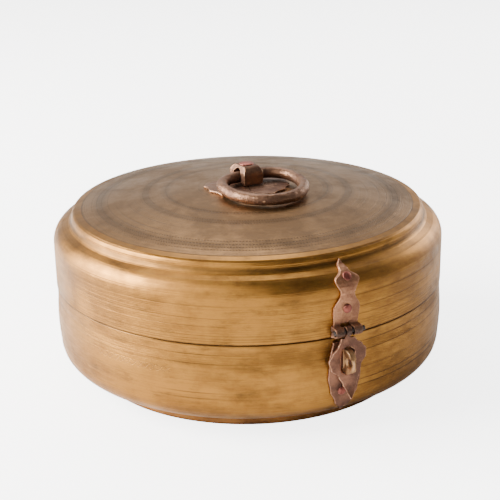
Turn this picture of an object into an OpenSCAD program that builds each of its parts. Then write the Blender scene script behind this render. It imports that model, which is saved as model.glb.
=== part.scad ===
// Brass spice box (masala dabba): a turned bowl and domed lid, hinged at the back,
// closed by a hasp at the front (-Y), with a ring handle and seven loose spice cups.
// Origin: centre of the footprint on the table. +Z up, millimetres.

/* [Bowl] */
// Widest diameter of the box
box_d = 270; // [225:1:330]
// How far the belly swells past the rim, on the radius
belly = 0.9; // [0:0.1:2]
// Depth of the bowl, from the seam down to its underside
bowl_h = 55.5; // [46:0.5:75]
// Radius of the turn between wall and underside
heel_r = 15.5; // [10:0.5:20]
// Height of the straight band under the seam
rim_band = 8; // [5:0.5:12]
// Sheet thickness of bowl and lid
wall = 2; // [1.4:0.1:2.6]

/* [Foot] */
// How far the foot ring stands in from the belly
foot_in = 23.6; // [19:0.2:40]
// Height of the foot ring
foot_h = 10.2; // [6:0.2:14]
// Thickness of the foot ring
foot_t = 3; // [2:0.5:5]

/* [Lid] */
// How far the lid's edge stands out past the bowl's rim
lid_over = 0.4; // [0:0.1:1]
// Height of the lid's shoulder above the seam
shoulder_h = 41.5; // [34:0.5:52]
// Radius of the shoulder
shoulder_r = 12; // [9:0.5:16]
// Radius of the hollow between shoulder and disc
cove_r = 5; // [3.5:0.5:6.5]
// Width of the rounded edge of the disc
edge_w = 3.5; // [3:0.25:5]
// Height of the rounded edge of the disc
edge_h = 4.6; // [3.5:0.1:6]
// Rise of the domed disc from its edge to its centre
dome_h = 12; // [8:0.5:18]

/* [Collar] */
// Height of the collar above the seam, inside the lid
collar_up = 8; // [5:0.5:12]
// Depth of the collar below the seam, inside the bowl
collar_down = 4; // [3:0.5:5]
// Thickness of the collar
collar_t = 1.4; // [1:0.1:2]
// Clearance between collar and lid
collar_gap = 0.6; // [0.4:0.1:1]

/* [Hinge] */
// Width of the hinge at the back
hinge_w = 50; // [36:1:64]
// Number of knuckles
hinge_n = 5; // [3:2:7]
// Outer radius of the knuckles
hinge_r = 4.6; // [3.8:0.1:6]
// Radius of the hinge pin
hinge_pin_r = 1.75; // [1.5:0.05:2.5]
// Height of each leaf
leaf_h = 18; // [14:0.5:20]
// Thickness of the leaves
leaf_t = 1.6; // [1.2:0.1:2]
// Angle between neighbouring hinge rivets, seen from the box's axis
hinge_rivet_step = 7; // [6:0.5:7.5]

/* [Hasp] */
// Thickness of the two hasp plates
plate_t = 1.8; // [1.2:0.1:2.4]
// Height of the upper plate's pointed tip above the foot of the disc's edge
spire_up = 0.9; // [0:0.1:2]
// Sideways lean of the upper plate for each unit of its height
plate_lean = 0.07; // [-0.1:0.01:0.1]
// Height of the hasp pin above the seam
pin_h = 4.8; // [4.4:0.1:6]
// Radius of the hasp pin
pin_r = 1.8; // [1.4:0.1:2.2]
// Outer radius of the hasp's knuckles
knuckle_r = 3.4; // [3:0.1:4]
// Length of the pin from end to end
pin_l = 21.5; // [20:0.5:26]
// Half the width across the two ears
ear_x = 9.5; // [8:0.5:11]
// Half the width of the gap between the ears
ear_gap = 3.4; // [3:0.1:4]
// Thickness of the flap
flap_t = 2; // [1.5:0.1:2.5]
// Length of the flap below the seam
flap_l = 40; // [36:0.5:41]
// Half the width across the flap's lobes
flap_x = 13.4; // [11:0.2:16]
// Width of the flap's slot
slot_w = 10; // [8:0.5:11]
// Height of the lower plate's tip above the bowl's underside
tail_up = 3.5; // [2:0.5:12]
// Clearance behind the flap
flap_gap = 1.1; // [1:0.1:1.6]

/* [Staple] */
// Width of the staple across the flap's slot
staple_w = 4.5; // [4:0.5:7]
// Height of the staple's middle below the seam
staple_z = 15; // [14:0.2:16]
// Radius of the staple's round nose
staple_r = 8.2; // [7.4:0.1:8.6]
// Radius of the padlock eye
eye_r = 3.2; // [2.5:0.1:3.6]
// Thickness of the metal in front of the eye
nose_t = 1.9; // [1.5:0.1:2.5]
// Thickness of each of the staple's legs
leg_t = 2.6; // [2:0.1:3.2]

/* [Rivets] */
// Radius of the small rivets' shanks
shank_r = 1.5; // [1.2:0.1:1.8]
// Radius of the small rivets' heads
head_r = 3.2; // [2.6:0.1:3.6]
// Height of the small rivets' heads
head_h = 1.3; // [1:0.1:1.6]
// Radius of the burrs inside
burr_r = 2.5; // [2.2:0.1:2.8]
// Thickness of the burrs inside
burr_t = 0.9; // [0.6:0.1:1.2]

/* [Handle] */
// Turn of the handle from the box's left to right line
handle_turn = 6; // [-20:1:20]
// Thickness of the ring's rod, as a radius
rod_r = 4.1; // [3.5:0.05:5]
// Overall width of the ring
ring_w = 63; // [58:1:76]
// How far the ring's straight bar runs out of the saddle before it bends
bar_out = 1.2; // [0.8:0.1:4]
// Length of the ring's straight sides
ring_side = 3; // [1:0.5:10]
// Clearance around the rod inside the saddle
tunnel_gap = 0.6; // [0.4:0.1:1.2]
// Length of the saddle along its tunnel
saddle_l = 15.5; // [12:0.5:16]
// Width of the saddle across its tunnel
saddle_w = 19.5; // [17:0.5:22]
// Headroom over the rod inside the saddle, besides its clearance
tunnel_rise = 1.5; // [0:0.1:3]
// Thickness of the saddle's roof over its tunnel
roof_t = 2.1; // [1.8:0.1:4]
// Thickness of the back plate under the handle
back_t = 1.6; // [1.2:0.1:2.2]
// Reach of the leaf-shaped back plate from its stem
back_r = 30; // [24:1:34]
// Turn of the leaf's middle vein from the front
back_turn = -12; // [-30:1:30]
// Radius of the centre rivet's shank
post_r = 2; // [1.6:0.1:2.4]
// Radius of the centre rivet's copper head
post_head_r = 5.4; // [4.5:0.1:6]
// Height of the centre rivet's copper head
post_head_h = 1.5; // [1:0.1:2]

/* [Cups] */
// Clearance between neighbouring cups
cup_gap = 3.8; // [1:0.2:8]
// Clearance between the cups and the collar
cup_wall_gap = 3.6; // [1:0.2:8]
// Depth of the cups' mouths below the seam
cup_drop = 6.3; // [1:0.1:12]
// Radius of a cup's foot
cup_foot_r = 26; // [20:0.5:29]
// Thickness of a cup's wall
cup_t = 1.2; // [0.8:0.1:1.6]
// Radius of the rolled bead around a cup's mouth
bead_r = 1.3; // [1.2:0.1:1.6]

/* [Spoon] */
// Length of the spoon's handle
spoon_l = 64; // [56:1:68]
// Radius of the spoon's bowl
spoon_r = 12.5; // [9:0.5:14]
// Depth of the spoon's bowl
spoon_d = 6; // [4:0.5:8]
// Thickness of the spoon
spoon_t = 1.4; // [1:0.1:2]
// Width of the spoon's handle
spoon_w = 5; // [4:0.5:7]
// How far the bowl stands back from the cup's middle
spoon_back = 6; // [3:0.5:8]
// Clearance between the spoon and its cup
spoon_gap = 0.5; // [0.4:0.1:1]

/* [Hidden] */
$fn = 96;

BRASS = [0.66, 0.50, 0.26];
PALE = [0.72, 0.58, 0.33];
BROWN = [0.55, 0.40, 0.28];
COPPER = [0.72, 0.36, 0.28];
IRON = [0.30, 0.26, 0.24];

seam_z = foot_h + bowl_h;
belly_r = box_d / 2;
rim_r = belly_r - belly;
lid_r = rim_r + lid_over;
foot_r = belly_r - foot_in;
floor_z = foot_h + wall;
shoulder_z = seam_z + shoulder_h - shoulder_r;
shoulder_end = 70;
cove_flat = 2;
cove_end = 190;
apex_z = edge_pt().y + edge_h + dome_h;
disc_r = edge_pt().x - edge_w;
dome_r = (disc_r * disc_r + dome_h * dome_h) / (2 * dome_h);
fit = 0.05;
seat = 0.06;
eps = 0.5;
play = 0.1;
big = 400;

// Outlines of the turned walls -------------------------------------------------

function arc(x, y, rx, ry, a0, a1, n) =
    [for (i = [0:n]) let (a = a0 + (a1 - a0) * i / n) [x + rx * cos(a), y + ry * sin(a)]];

// Outside of the bowl, from the seam down to the axis
function bowl_path() = concat(
    [[rim_r, seam_z]],
    [for (i = [0:6]) [rim_r + belly * sin(180 * i / 6), seam_z - rim_band - belly_h() * i / 6]],
    slice(arc(rim_r - heel_r, foot_h + heel_r, heel_r, heel_r, 0, -90, 6), 1),
    [[0, foot_h]]
);
function belly_h() = bowl_h - heel_r - rim_band;

// Where the cove starts and its centre, then where the disc's edge starts
function cove_pt() = [
    lid_r - shoulder_r + shoulder_r * cos(shoulder_end) - cove_flat * sin(shoulder_end),
    shoulder_z + shoulder_r * sin(shoulder_end) + cove_flat * cos(shoulder_end)
];
function cove_mid() = cove_pt() + cove_r * [cos(shoulder_end), sin(shoulder_end)];
function edge_pt() = cove_mid() + cove_r * [cos(cove_end), sin(cove_end)];

// Outside of the lid, from the seam up to the axis
function lid_path() = concat(
    [[lid_r, seam_z]],
    arc(lid_r - shoulder_r, shoulder_z, shoulder_r, shoulder_r, 0, shoulder_end, 6),
    arc(cove_mid().x, cove_mid().y, cove_r, cove_r, 180 + shoulder_end, cove_end, 4),
    slice(arc(disc_r, edge_pt().y, edge_w, edge_h, 0, 90, 4), 1),
    [for (i = [1:6]) dome_pt(disc_r * (1 - i / 6))]
);
function dome_z(r) = apex_z - dome_r + sqrt(dome_r * dome_r - r * r);
function dome_pt(r) = [r, dome_z(r)];

function slice(list, from) = [for (i = [from:len(list) - 1]) list[i]];
function flipped(list) = [for (i = [len(list) - 1:-1:0]) list[i]];
function unit(v) = v / norm(v);

// A path moved inward by d; side is 1 where the path climbs and -1 where it falls
function left_of(p, i) = let (t = unit(p[i + 1] - p[i - 1])) [-t.y, t.x];
function moved(p, d, side) = [
    for (i = [0:len(p) - 1])
        p[i] + d * (i == 0 ? [-1, 0] : i == len(p) - 1 ? [0, -side] : side * left_of(p, i))
];

LID = lid_path();
BOWL = bowl_path();

// A turned sheet between two offsets of a path
module turned(path, side, d0, d1, from = 0)
    rotate_extrude() polygon(concat(
        slice(moved(path, d0, side), from), flipped(slice(moved(path, d1, side), from))));

// The same sheet, only over a wedge centred on -Y
module wedge(path, side, d0, d1, half)
    rotate([0, 0, -90 - half]) rotate_extrude(angle = 2 * half)
        polygon(concat(moved(path, d0, side), flipped(moved(path, d1, side))));

// Half width of a leaf shape at height z, eased between its stations [z, half width]
function eased(st, z) =
    let (i = min(len(st) - 2, len([for (s = st) if (s[0] <= z) 1]) - 1))
    let (t = (z - st[i][0]) / (st[i + 1][0] - st[i][0]))
    st[i][1] + (st[i + 1][1] - st[i][1]) * (1 - cos(180 * t)) / 2;
function leaf(st, n) =
    let (z0 = st[0][0], z1 = st[len(st) - 1][0])
    let (zs = [for (i = [0:n]) z0 + (z1 - z0) * i / n])
    concat([for (z = zs) [eased(st, z), z]], [for (z = flipped(zs)) [-eased(st, z), z]]);

function leaned(list) = [for (p = list) [p.x + plate_lean * p.y, p.y]];

// Stands a drawing up in front of the box, its second axis up from the seam
module front_prism(points)
    translate([0, 0, seam_z]) rotate([90, 0, 0]) linear_extrude(height = big) polygon(points);

// Places children on a front wall at radius r and height z, +Z outward, tilted up,
// then moved outward by out
module on_front(r, z, tilt, at, out)
    rotate([0, 0, at]) translate([0, -r, seam_z + z]) rotate([90 - tilt, 0, 0])
        translate([0, 0, out]) children();
module at_back() rotate([0, 0, 180]) children();

// Domed rivet: head above z = 0, shank down through grip, burr under it
module rivet(sr, hr, hh, grip, br, bt)
    rotate_extrude() polygon(concat(
        [[0, -grip - bt], [br * 0.7, -grip - bt], [br, -grip], [sr, -grip], [sr, 0], [hr, 0]],
        [for (i = [1:5]) [hr * cos(18 * i), hh * (0.25 + 0.75 * sin(18 * i))]]
    ));
module small_rivet(grip) rivet(shank_r, head_r, head_h, grip, burr_r, burr_t);
module rivet_hole(r = shank_r) translate([0, 0, -big / 8]) cylinder(r = r + fit, h = big / 4);

// Rivet places ----------------------------------------------------------------

leaf_gap = 0.6;
leaf_z = hinge_r + leaf_gap;
base_rivet_z = -leaf_z - leaf_h / 2;
lid_rivet_z = leaf_z + leaf_h / 2;

// Radius and slope of the bowl's outside at height z, which is below the seam
function bowl_r(z) =
    lookup(z, [for (p = flipped(BOWL)) if (p.x > rim_r - heel_r + 1) [p.y - seam_z, p.x]]);
function bowl_tilt(z) = atan2(bowl_r(z - eps) - bowl_r(z + eps), 2 * eps);
module on_bowl(z, at, out) on_front(bowl_r(z), z, bowl_tilt(z), at, out) children();
module base_rivet_places(out)
    for (k = [-1:1]) at_back() on_bowl(base_rivet_z, k * hinge_rivet_step, out) children();
module lid_rivet_places(out)
    for (k = [-1:1]) at_back() on_front(lid_r, lid_rivet_z, 0, k * hinge_rivet_step, out) children();

upper_rivet_z = 18.5;
shoulder_tilt = 40;
high_rivet_z = shoulder_z - seam_z + shoulder_r * sin(shoulder_tilt);
spire_z = edge_pt().y - seam_z + spire_up;
function lean_turn(z) = asin(plate_lean * z / lid_r);
module upper_rivet_low(out)
    on_front(lid_r, upper_rivet_z, 0, lean_turn(upper_rivet_z), out) children();
module upper_rivet_high(out) rotate([0, 0, lean_turn(high_rivet_z)])
    translate([0, -(lid_r - shoulder_r), shoulder_z]) rotate([90 - shoulder_tilt, 0, 0])
        translate([0, 0, shoulder_r + out]) children();
lower_rivet_x = 2;
tail_z = tail_up - bowl_h;
lower_rivet_z = tail_z + 16;
module lower_rivet(out) on_bowl(lower_rivet_z, -asin(lower_rivet_x / rim_r), out) children();

// Bowl ------------------------------------------------------------------------

module base_shell() color(BRASS) difference() {
    turned(BOWL, -1, 0, wall);
    base_rivet_places(0) rivet_hole();
    lower_rivet(0) rivet_hole();
    staple_legs(fit);
}

foot_flare = 1;
chamfer = 0.6;
module foot_ring() color(BROWN) rotate_extrude() polygon([
    [foot_r - foot_t - foot_flare, foot_h], [foot_r - foot_t, 0],
    [foot_r - chamfer, 0], [foot_r, chamfer], [foot_r - foot_flare, foot_h]
]);

collar_r = lid_r - wall - collar_gap;
collar_in = rim_r - wall - collar_t;
module inner_collar() color(PALE) rotate_extrude() polygon([
    [rim_r - wall, seam_z - collar_down], [rim_r - wall, seam_z],
    [collar_r, seam_z], [collar_r, seam_z + collar_up - chamfer], [collar_r - chamfer, seam_z + collar_up],
    [collar_in, seam_z + collar_up], [collar_in, seam_z - collar_down]
]);

// Hinge at the back -----------------------------------------------------------

hinge_stand = 0.9;
hinge_y = lid_r + hinge_r + hinge_stand;
knuckle_gap = 0.4;
bridge_in = 8;
bridge_lap = 3;
bridge_gap = 0.3;
knuckle_w = (hinge_w + knuckle_gap) / hinge_n - knuckle_gap;
module hinge_axis() translate([0, hinge_y, seam_z]) rotate([0, 90, 0]) children();
function knuckle_x(k) = -hinge_w / 2 + k * (knuckle_w + knuckle_gap);

// Every second knuckle from k0 with its bridge to the leaf; up is 1 or -1
module knuckles(k0, up, bore) {
    reach = leaf_z + bridge_lap;
    for (k = [k0:2:hinge_n - 1]) difference() {
        union() {
            translate([knuckle_x(k), 0, 0]) hinge_axis() cylinder(r = hinge_r, h = knuckle_w);
            translate([knuckle_x(k), hinge_y - hinge_r - bridge_in, seam_z + (up > 0 ? knuckle_gap : -reach)])
                cube([knuckle_w, hinge_r + bridge_in, reach - knuckle_gap]);
        }
        translate([-big / 2, 0, 0]) hinge_axis() cylinder(r = bore, h = big);
        cylinder(r = (up > 0 ? lid_r : belly_r) + bridge_gap, h = big);
    }
}

hinge_half = asin((hinge_w / 2) / lid_r);
module base_hinge_leaf() color(PALE) difference() {
    union() {
        intersection() {
            at_back() wedge(BOWL, -1, -leaf_t, 0, hinge_half);
            translate([-big / 2, 0, seam_z - leaf_z - leaf_h]) cube([big, big, leaf_h]);
        }
        knuckles(0, -1, hinge_pin_r + 0.01);
    }
    base_rivet_places(0) rivet_hole();
}

module lid_hinge_leaf() color(PALE) difference() {
    union() {
        intersection() {
            at_back() wedge(LID, 1, -leaf_t, 0, hinge_half);
            translate([-big / 2, 0, seam_z + leaf_z]) cube([big, big, leaf_h]);
        }
        knuckles(1, 1, hinge_pin_r + fit);
    }
    lid_rivet_places(0) rivet_hole();
}

pin_cap_t = 1.6;
pin_cap_gap = 0.3;
module hinge_pin() color(BROWN) translate([-hinge_w / 2, 0, 0]) hinge_axis() {
    translate([0, 0, -pin_cap_gap]) cylinder(r = hinge_pin_r, h = hinge_w + 2 * pin_cap_gap);
    for (x = [-pin_cap_gap - pin_cap_t, hinge_w + pin_cap_gap])
        translate([0, 0, x]) cylinder(r = hinge_r - 1, h = pin_cap_t);
}

module base_hinge_rivets() color(COPPER)
    base_rivet_places(leaf_t + seat) small_rivet(leaf_t + wall + 3 * seat);
module lid_hinge_rivets() color(COPPER)
    lid_rivet_places(leaf_t + seat) small_rivet(leaf_t + wall + 3 * seat);

// Staple and its plate --------------------------------------------------------

module staple_plate() color(BROWN) difference() {
    intersection() {
        wedge(BOWL, -1, -plate_t, 0, 8);
        front_prism(leaf([[tail_z, 0.5], [tail_z + 8, 6.5], [lower_rivet_z, 9.8],
            [-staple_z - 12, 11.6], [-staple_z, 10.4], [-3, 8]], 30));
    }
    lower_rivet(0) rivet_hole();
    staple_legs(fit);
}

module staple_plate_rivet() color(COPPER)
    lower_rivet(plate_t + seat) small_rivet(plate_t + wall + 3 * seat);

flap_back = pin_y() - flap_t / 2;
staple_y = flap_back + flap_t + play;
eye_y = staple_y + staple_r - nose_t - eye_r;
inner_y = rim_r - wall;
tab_l = 4.5;
tab_t = 1.4;
tab_in = 0.4;
leg_in = 0.2;
leg_l = belly_r + plate_t - inner_y + tab_t + 1.2;
function pin_y() = max(lid_r + flap_gap + knuckle_r, belly_r + plate_t + flap_gap + flap_t / 2);

module staple_legs(gap) for (s = [-1, 1])
    translate([-staple_w / 2 - gap, -belly_r - plate_t - leg_in, 0]) mirror([0, 0, s > 0 ? 0 : 1])
        translate([0, 0, s * (seam_z - staple_z) + staple_r - leg_t - gap])
            cube([staple_w + 2 * gap, leg_l, leg_t + 2 * gap]);

module hasp_staple() color(PALE) difference() {
    union() {
        intersection() {
            translate([-staple_w / 2, -staple_y, seam_z - staple_z]) rotate([0, 90, 0])
                cylinder(r = staple_r, h = staple_w);
            translate([-staple_w / 2, -big, 0]) cube([staple_w, big - staple_y + eps, big]);
        }
        translate([-staple_w / 2, -staple_y, seam_z - staple_z - staple_r])
            cube([staple_w, staple_y - belly_r - plate_t - play, 2 * staple_r]);
        staple_legs(0);
        for (s = [-1, 1]) translate([-staple_w / 2, -inner_y + tab_in, seam_z - staple_z])
            mirror([0, 0, s > 0 ? 0 : 1]) translate([0, 0, staple_r - tab_l - leg_t])
                cube([staple_w, tab_t, tab_l + leg_t]);
    }
    translate([-big / 2, -eye_y, seam_z - staple_z]) rotate([0, 90, 0]) cylinder(r = eye_r, h = big);
}

// Lid -------------------------------------------------------------------------

module lid_shell() color(BRASS) difference() {
    turned(LID, 1, 0, wall);
    lid_rivet_places(0) rivet_hole();
    upper_rivet_low(0) rivet_hole();
    upper_rivet_high(0) rivet_hole();
    translate([0, 0, apex_z - 20]) cylinder(r = post_r + fit, h = 40);
}

module hasp_upper_plate() color(BROWN) difference() {
    union() {
        intersection() {
            wedge(LID, 1, -plate_t, 0, 7);
            front_prism(leaned(leaf([[0.6, ear_x], [8, 8.6], [upper_rivet_z, 9.4],
                [(upper_rivet_z + high_rivet_z) / 2, 5], [high_rivet_z - 0.5, 8.6],
                [high_rivet_z + 4, 3], [spire_z, 0.6]], 34)));
        }
        for (s = [-1, 1]) hasp_ear(s);
    }
    translate([-ear_gap, -big, seam_z - 1]) cube([2 * ear_gap, big, pin_h + knuckle_r + 1.6]);
    hasp_axis(-big / 2) cylinder(r = pin_r + fit, h = big);
    upper_rivet_low(0) rivet_hole();
    upper_rivet_high(0) rivet_hole();
}
module hasp_axis(x) translate([x, -pin_y(), seam_z + pin_h]) rotate([0, 90, 0]) children();
module hasp_ear(s) difference() {
    union() {
        hasp_axis(s > 0 ? ear_gap : -ear_x) cylinder(r = knuckle_r, h = ear_x - ear_gap);
        translate([s > 0 ? ear_gap : -ear_x, -pin_y(), seam_z + pin_h])
            cube([ear_x - ear_gap, pin_y() - lid_r + 2, knuckle_r]);
    }
    cylinder(r = lid_r + 0.2, h = big);
}

module hasp_rivets() color(COPPER) {
    upper_rivet_low(plate_t + seat) small_rivet(plate_t + wall + 3 * seat);
    burr_sag = burr_r * burr_r / (2 * (shoulder_r - wall));
    upper_rivet_high(plate_t) small_rivet(plate_t + wall + burr_sag + seat);
}

module hasp_pin() color(IRON) hasp_axis(-ear_x) cylinder(r = pin_r, h = pin_l);

// Flap ------------------------------------------------------------------------

flap_neck = 4;
curl_w = 2.8;
curl_h = 3.4;
curl_t = 2;
flap_fit = 0.08;
slot_l = 2 * staple_r + 3;
module hasp_flap() color(BROWN) difference() {
    union() {
        hasp_axis(-flap_neck / 2) cylinder(r = knuckle_r - play, h = flap_neck);
        translate([-flap_neck / 2, -flap_back - flap_t, seam_z - 2]) cube([flap_neck, flap_t, pin_h + 2]);
        intersection() {
            front_prism(leaf([[-flap_l, 1.2], [-flap_l + 5, 3.6], [-flap_l + 12, 7.2],
                [-staple_z - 4, flap_x - 1.2], [-staple_z + 3.5, flap_x], [-4.5, 7.6], [0.2, 5]], 32));
            translate([-big / 2, -flap_back - flap_t, 0]) cube([big, flap_t, big]);
        }
        translate([-curl_w / 2, -flap_back - curl_h, seam_z - flap_l]) cube([curl_w, curl_h, curl_t]);
    }
    hasp_axis(-big / 2) cylinder(r = pin_r + flap_fit, h = big);
    translate([-slot_w / 2, -big, seam_z - staple_z - slot_l / 2]) cube([slot_w, big, slot_l]);
}

// Handle ----------------------------------------------------------------------

rod_rest = 0.6;
plate_top = apex_z + back_t;
tunnel_z = plate_top + rod_r + rod_rest;
tunnel_r = rod_r + tunnel_gap;
roof_z = tunnel_z + tunnel_rise + tunnel_r + roof_t;
module handle_frame() translate([0, 0, tunnel_z]) rotate([0, 0, handle_turn]) children();

// Broad leaf with a scalloped edge, its stem end under the saddle
stem_r = 11;
lobe_end = 98;
lobe_ease = 50;
scallop = 0.09;
function leaf_r(u) =
    let (k = (1 + cos(180 * min(1, max(0, (abs(u) - lobe_end) / lobe_ease)))) / 2)
    stem_r + (back_r - stem_r) * k * (1 - scallop * abs(sin(7.5 * u)));
// The outline's corners stay off whole degrees, clear of the turned sheet's own seam.
leaf_phase = 0.5;
module handle_back_plate() color(BROWN) difference() {
    intersection() {
        turned(LID, 1, 0, -back_t, len(LID) - 3);
        rotate([0, 0, back_turn - 90]) linear_extrude(height = big)
            polygon([for (u = [leaf_phase - 180:6:179]) leaf_r(u) * [cos(u), sin(u)]]);
    }
    translate([0, 0, apex_z - 5]) cylinder(r = post_r + fit, h = 20);
}

crown_w = 4;
crown_h = 6;
bevel_w = 2.2;
bevel_h = 4;
toe_w = 0.8;
toe_h = 2;
module handle_saddle() color(BROWN) handle_frame() difference() {
    low = plate_top - tunnel_z;
    top = roof_z - tunnel_z;
    end = saddle_l / 2;
    intersection() {
        translate([-end, 0, 0]) rotate([90, 0, 90]) linear_extrude(height = saddle_l)
            polygon(concat([[-saddle_w / 2, low], [saddle_w / 2, low]],
                arc(saddle_w / 2 - crown_w, top - crown_h, crown_w, crown_h, 0, 90, 5),
                arc(crown_w - saddle_w / 2, top - crown_h, crown_w, crown_h, 90, 180, 5)));
        translate([0, saddle_w / 2, 0]) rotate([90, 0, 0]) linear_extrude(height = saddle_w)
            polygon([[toe_w - end, low], [end - toe_w, low], [end, low + toe_h],
                [end, top - bevel_h], [end - bevel_w, top], [bevel_w - end, top],
                [-end, top - bevel_h], [-end, low + toe_h]]);
    }
    translate([-big / 2, 0, tunnel_rise]) rotate([0, 90, 0]) cylinder(r = tunnel_r, h = big);
    translate([-big / 2, -tunnel_r, tunnel_rise - big]) cube([big, 2 * tunnel_r, big]);
    cylinder(r = post_r + fit, h = big);
}

washer_r = 7.5;
washer_t = 1.4;
post_burr_r = post_r + 1.6;
post_burr_t = 1.4;
washer_gap = seat + washer_r * (apex_z - dome_z(disc_r / 6)) / (disc_r / 6);
burr_z = apex_z - wall - washer_gap - washer_t;
module handle_washer() color(PALE) translate([0, 0, burr_z]) difference() {
    cylinder(r = washer_r, h = washer_t);
    translate([0, 0, -1]) cylinder(r = post_r + fit, h = washer_t + 2);
}
module handle_rivet() color(COPPER) translate([0, 0, roof_z])
    rivet(post_r, post_head_r, post_head_h, roof_z - burr_z, post_burr_r, post_burr_t);

// The ring lies forward, on the disc's dome or on the leaf, whichever it meets first
ring_bend = ring_w / 2 - rod_r;
ring_corner = ring_bend - saddle_l / 2 - bar_out;
ring_reach = ring_corner + ring_side + ring_bend;
ring_rest = 0.35;
ring_low = tunnel_z - rod_r - ring_rest;
leaf_cross = sqrt(max(1, back_r * back_r - ring_bend * ring_bend));
ring_tip = asin(min((ring_low - dome_z(ring_reach)) / ring_reach,
    (ring_low - dome_z(back_r) - back_t) / leaf_cross));
stub_gap = 0.9;
stub_x = post_r + stub_gap;
module handle_ring() color(BROWN) handle_frame() rotate([ring_tip, 0, 0]) {
    for (s = [0, 1]) mirror([s, 0, 0]) {
        translate([stub_x, 0, 0]) rotate([0, 90, 0])
            cylinder(r = rod_r, h = ring_bend - ring_corner - stub_x);
        translate([ring_bend - ring_corner, -ring_corner, 0])
            rotate_extrude(angle = 90) translate([ring_corner, 0]) circle(r = rod_r);
        translate([ring_bend, -ring_corner, 0]) rotate([90, 0, 0]) cylinder(r = rod_r, h = ring_side);
    }
    translate([0, -ring_corner - ring_side, 0]) rotate([0, 0, 180])
        rotate_extrude(angle = 180) translate([ring_bend, 0]) circle(r = rod_r);
}

// Cups and spoon --------------------------------------------------------------

// Seven cups share the bowl: three mouths and their gaps span it from wall to middle
cup_out = (collar_in - cup_wall_gap - cup_gap) / 3;
cup_r = cup_out + cup_t / 2 - bead_r;
cup_ring = 2 * cup_out + cup_gap;
cup_z = floor_z + play;
cup_h = seam_z - cup_drop - cup_z;
CUP = concat(
    [[cup_r, cup_h - bead_r]],
    slice(arc(cup_foot_r + 1, cup_h - bead_r, cup_r - cup_foot_r - 1, cup_h - bead_r - 4, 0, -78, 8), 1),
    [[cup_foot_r, 0.8], [cup_foot_r - 0.8, 0], [0, 0]]
);
module cup(angle, out) color(PALE) rotate([0, 0, angle]) translate([out, 0, cup_z]) {
    rotate_extrude() polygon(concat(CUP, flipped(moved(CUP, cup_t, -1))));
    rotate_extrude() translate([cup_r - cup_t / 2, cup_h - bead_r]) circle(r = bead_r);
}
module cup_centre() cup(0, 0);

// The spoon's bowl stands level in the centre cup and its handle leans over the bead
spoon_ball = (spoon_r * spoon_r + spoon_d * spoon_d) / (2 * spoon_d);
spoon_z = cup_z + cup_t + spoon_gap;
handle_foot = [spoon_r - spoon_back - spoon_t, spoon_z + spoon_d - spoon_t / 2];
to_bead = [cup_r - cup_t / 2, cup_z + cup_h - bead_r] - handle_foot;
lean = atan2(to_bead.x, to_bead.y) - asin((bead_r + spoon_t / 2 + spoon_gap) / norm(to_bead));
module spoon() color(PALE) {
    translate([0, -spoon_back, spoon_z + spoon_ball]) difference() {
        sphere(r = spoon_ball);
        sphere(r = spoon_ball - spoon_t);
        translate([-big / 2, -big / 2, spoon_d - spoon_ball]) cube(big);
    }
    translate([0, handle_foot.x, handle_foot.y]) rotate([-lean, 0, 0]) {
        translate([-spoon_w / 2, -spoon_t / 2, -spoon_t / 2]) cube([spoon_w, spoon_t, spoon_l]);
        translate([0, spoon_t / 2, spoon_l]) rotate([90, 0, 0]) cylinder(r = spoon_w * 0.7, h = spoon_t);
    }
}

base_shell();
foot_ring();
inner_collar();
base_hinge_leaf();
hinge_pin();
base_hinge_rivets();
staple_plate();
staple_plate_rivet();
hasp_staple();
lid_shell();
lid_hinge_leaf();
lid_hinge_rivets();
hasp_upper_plate();
hasp_rivets();
hasp_pin();
handle_back_plate();
handle_saddle();
handle_rivet();
handle_washer();
hasp_flap();
handle_ring();
cup_centre();
for (k = [1:6]) cup(60 * (k - 1), cup_ring);
spoon();
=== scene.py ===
import math
import bmesh
import bpy
import numpy as np
from mathutils import Matrix, Vector, noise


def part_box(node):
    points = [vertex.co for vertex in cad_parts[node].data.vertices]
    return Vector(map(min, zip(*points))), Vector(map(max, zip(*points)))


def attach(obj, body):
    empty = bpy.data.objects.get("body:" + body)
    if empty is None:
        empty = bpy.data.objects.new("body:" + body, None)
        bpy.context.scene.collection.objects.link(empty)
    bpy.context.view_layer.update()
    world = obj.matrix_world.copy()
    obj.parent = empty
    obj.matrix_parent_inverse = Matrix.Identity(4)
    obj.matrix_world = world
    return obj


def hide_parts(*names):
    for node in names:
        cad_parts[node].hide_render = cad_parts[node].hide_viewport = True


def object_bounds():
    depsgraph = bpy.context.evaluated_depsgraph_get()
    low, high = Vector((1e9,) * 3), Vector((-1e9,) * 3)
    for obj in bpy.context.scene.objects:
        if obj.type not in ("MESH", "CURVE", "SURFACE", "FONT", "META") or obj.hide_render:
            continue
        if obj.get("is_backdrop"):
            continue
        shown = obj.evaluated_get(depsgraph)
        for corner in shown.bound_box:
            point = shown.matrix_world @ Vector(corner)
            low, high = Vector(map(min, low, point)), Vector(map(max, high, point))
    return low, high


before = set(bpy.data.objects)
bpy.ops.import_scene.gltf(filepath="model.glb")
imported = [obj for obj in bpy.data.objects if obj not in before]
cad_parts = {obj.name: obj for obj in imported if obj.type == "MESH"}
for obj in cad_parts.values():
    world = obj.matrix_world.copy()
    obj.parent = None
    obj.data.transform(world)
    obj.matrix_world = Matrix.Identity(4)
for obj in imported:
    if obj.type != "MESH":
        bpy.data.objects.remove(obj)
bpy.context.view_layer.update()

# The studio -----------------------------------------------------------------------
# A pale floor under the box, a large soft light on its left, three weaker ones in front,
# above and on the right, a room that is darker in front, and the camera above the lid.
MM = 0.001
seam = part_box("base_shell")[1].z
scene = bpy.context.scene


def in_scene(thing):
    scene.collection.objects.link(thing)
    return thing


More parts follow.
